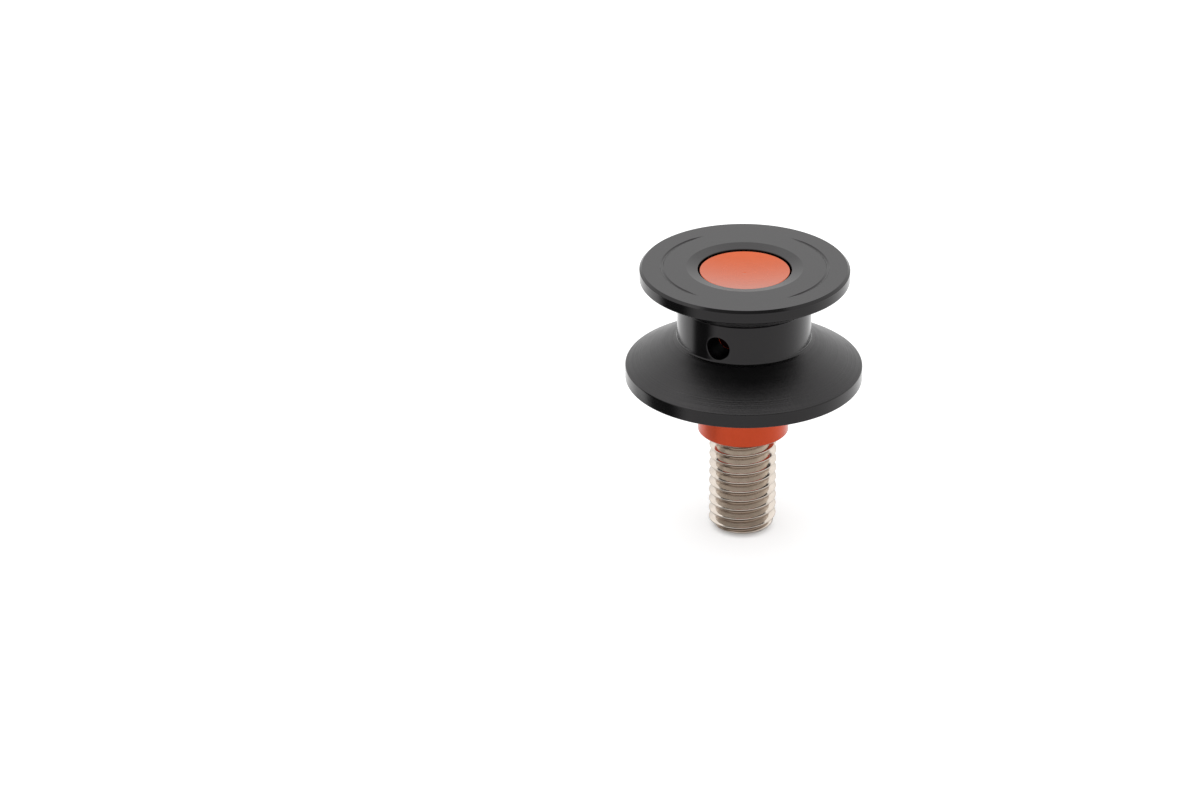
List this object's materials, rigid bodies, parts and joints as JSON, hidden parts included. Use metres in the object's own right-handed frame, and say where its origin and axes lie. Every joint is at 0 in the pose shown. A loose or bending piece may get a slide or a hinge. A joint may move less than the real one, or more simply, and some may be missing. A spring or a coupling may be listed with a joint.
{
  "type": "swingarm spool",
  "caption": "Grooved roller that turns on a shouldered bush with a threaded stud, screwed into a motorcycle swingarm to seat a paddock stand's hook.",
  "frame": {"origin": "on the axis at the bush's seat face, where the spool meets the swingarm and the stud leaves it", "axes": "+Z along the axis, from the seat face out to the end cap; the stud points along -Z; the cross hole runs along Y"},
  "size_m": [0.0351, 0.035, 0.0419],
  "materials": {
    "black_polymer": "satin",
    "orange_anodised": "satin",
    "stainless": "satin"
  },
  "bodies": {
    "spindle": {"bush": "orange_anodised", "end_cap": "orange_anodised", "stud": "stainless"},
    "roller": {"roller": "black_polymer"}
  },
  "joints": [
    {"name": "roller_spin", "type": "hinge", "parent": "spindle", "child": "roller", "pos_m": [0, 0, 0.0174], "axis": [0, 0, 1], "continuous": true}
  ]
}
